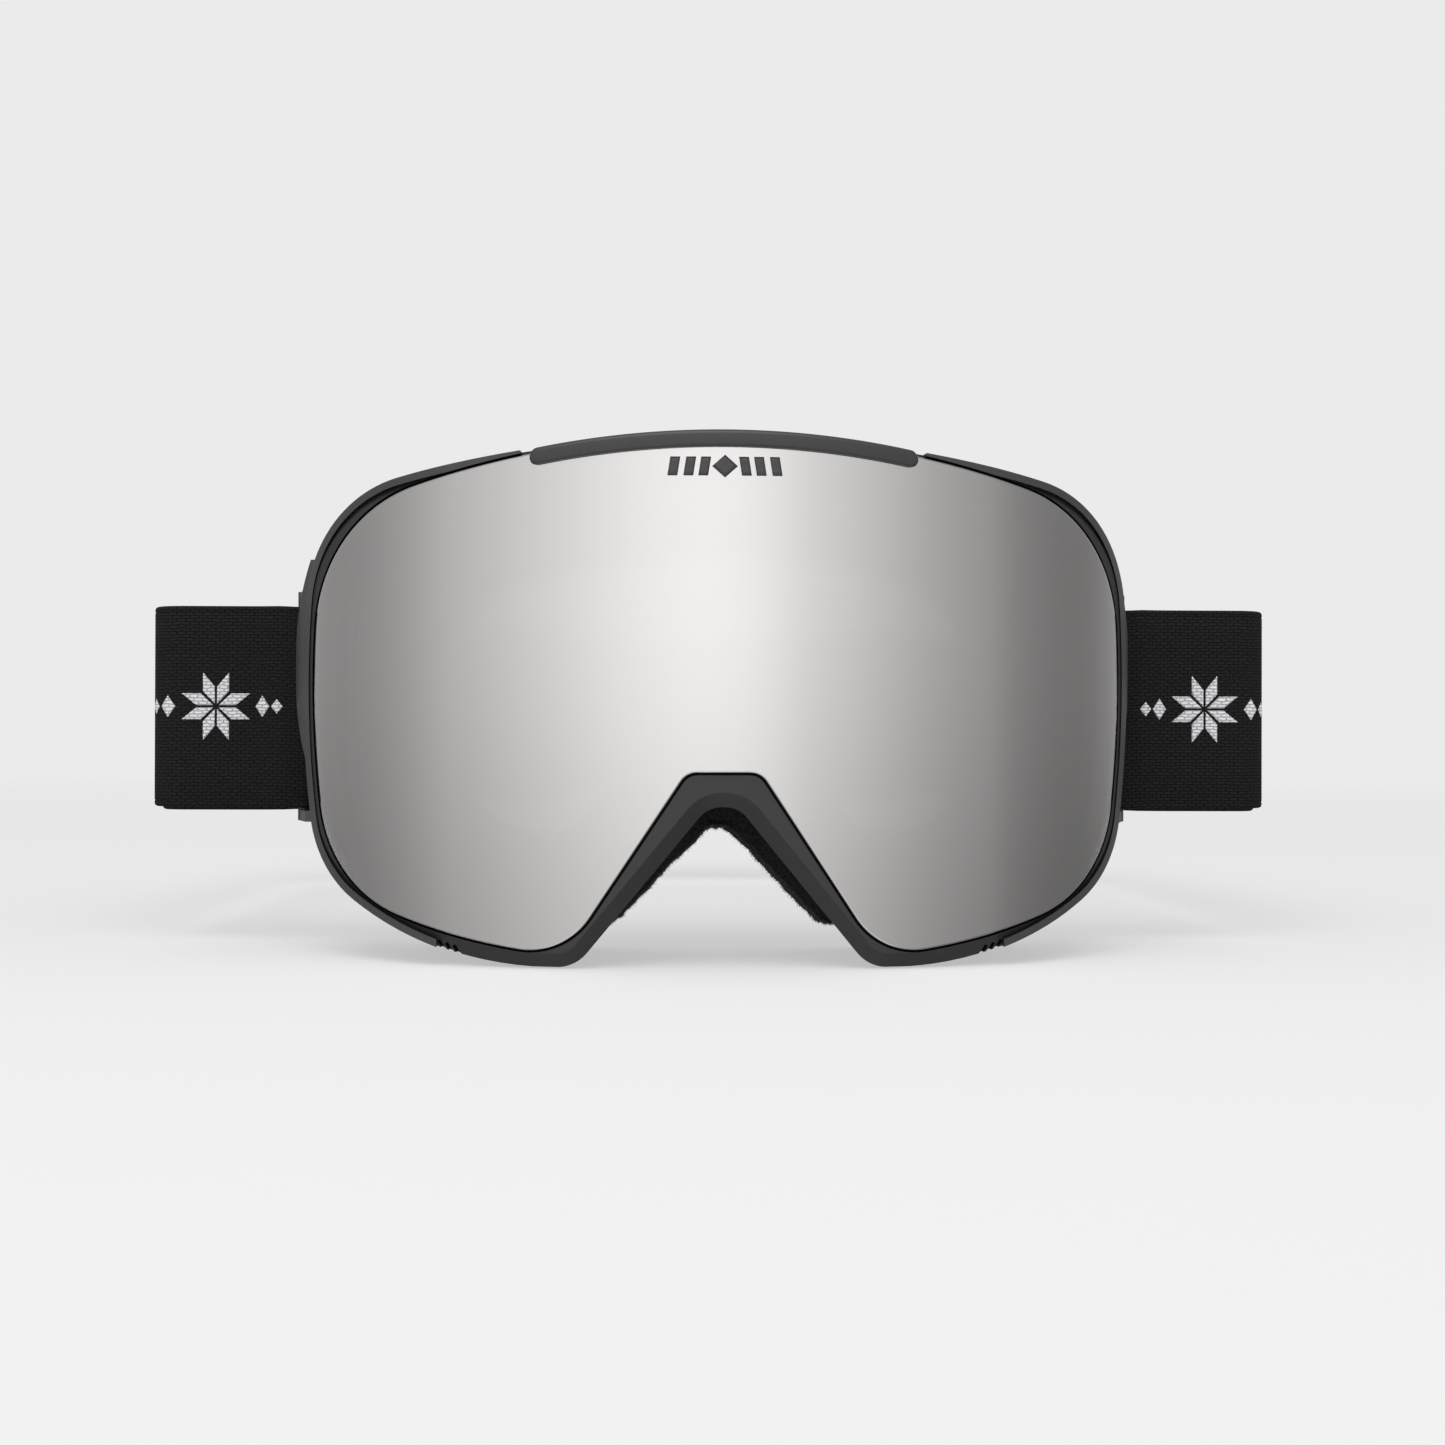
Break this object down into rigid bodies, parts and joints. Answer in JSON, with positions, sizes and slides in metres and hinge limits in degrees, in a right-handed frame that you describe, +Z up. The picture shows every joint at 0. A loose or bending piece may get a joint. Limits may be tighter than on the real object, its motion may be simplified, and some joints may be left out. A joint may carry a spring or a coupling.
{
  "type": "ski goggles",
  "caption": "Ski goggles with a cylindrical mirror lens held by magnets, a soft frame with face padding, hinged outriggers and an elastic strap.",
  "frame": {"origin": "on the ground, in the middle of the part's box seen from above", "axes": "+Z up, the lens looks along -Y, +X to the right seen from the front"},
  "size_m": [0.2536, 0.2435, 0.1087],
  "materials": {
    "frame_rubber": "matte moulded TPU",
    "rim_plastic": "satin",
    "grip_plastic": "satin",
    "carrier_plastic": "matte",
    "outrigger_plastic": "satin",
    "slider_plastic": "gloss moulded",
    "lens_mirror": "silver mirror coating",
    "lens_clear": "clear acetate",
    "gasket_foam": "foam",
    "magnet_nickel": "nickel plated",
    "pin_steel": "ground",
    "dense_foam": "dense open-cell foam",
    "soft_foam": "soft open-cell foam",
    "fleece": "brushed fleece",
    "vent_foam": "reticulated foam",
    "vent_mesh": "fine mesh",
    "strap_elastic": "knitted elastic webbing",
    "silicone": "gloss silicone"
  },
  "bodies": {
    "goggle_frame": {"frame": "frame_rubber", "side_rim_left": "rim_plastic", "side_rim_right": "rim_plastic", "top_vent_foam": "vent_foam", "bottom_vent_foam_left": "vent_foam", "bottom_vent_foam_right": "vent_foam", "side_mesh_left": "vent_mesh", "side_mesh_right": "vent_mesh", "frame_magnets": "magnet_nickel", "face_foam_base": "dense_foam", "face_foam_soft": "soft_foam", "face_fleece": "fleece", "hinge_pin_left": "pin_steel", "hinge_pin_right": "pin_steel", "strap_webbing": "strap_elastic", "strap_inner_left": "strap_elastic", "strap_inner_right": "strap_elastic", "silicone_grip": "silicone"},
    "lens_assembly": {"outer_lens": "lens_mirror", "lens_gasket": "gasket_foam", "inner_lens": "lens_clear", "lens_carrier": "carrier_plastic", "lens_plates": "magnet_nickel", "brow_grip": "grip_plastic"},
    "outrigger_left": {"outrigger_left": "outrigger_plastic", "strap_end_left": "strap_elastic"},
    "outrigger_right": {"outrigger_right": "outrigger_plastic", "strap_end_right": "strap_elastic"},
    "slider_left": {"slider_left": "slider_plastic", "strap_tail_left": "strap_elastic"},
    "slider_right": {"slider_right": "slider_plastic", "strap_tail_right": "strap_elastic"}
  },
  "joints": [
    {"name": "lens_pull_off", "type": "slide", "parent": "goggle_frame", "child": "lens_assembly", "axis": [0, -1, 0], "range_m": [0, 0.03]},
    {"name": "outrigger_right_swing", "type": "hinge", "parent": "goggle_frame", "child": "outrigger_right", "pos_m": [0.0847, -0.06495, 0.056], "axis": [0, 0, 1], "range_deg": [-15, 25]},
    {"name": "outrigger_left_swing", "type": "hinge", "parent": "goggle_frame", "child": "outrigger_left", "pos_m": [-0.0847, -0.06495, 0.056], "axis": [0, 0, -1], "range_deg": [-15, 25]},
    {"name": "slider_right_adjust", "type": "slide", "parent": "goggle_frame", "child": "slider_right", "axis": [1, 0, 0], "range_m": [-0.014, 0.014]},
    {"name": "slider_left_adjust", "type": "slide", "parent": "goggle_frame", "child": "slider_left", "axis": [-1, 0, 0], "range_m": [-0.014, 0.014]}
  ]
}
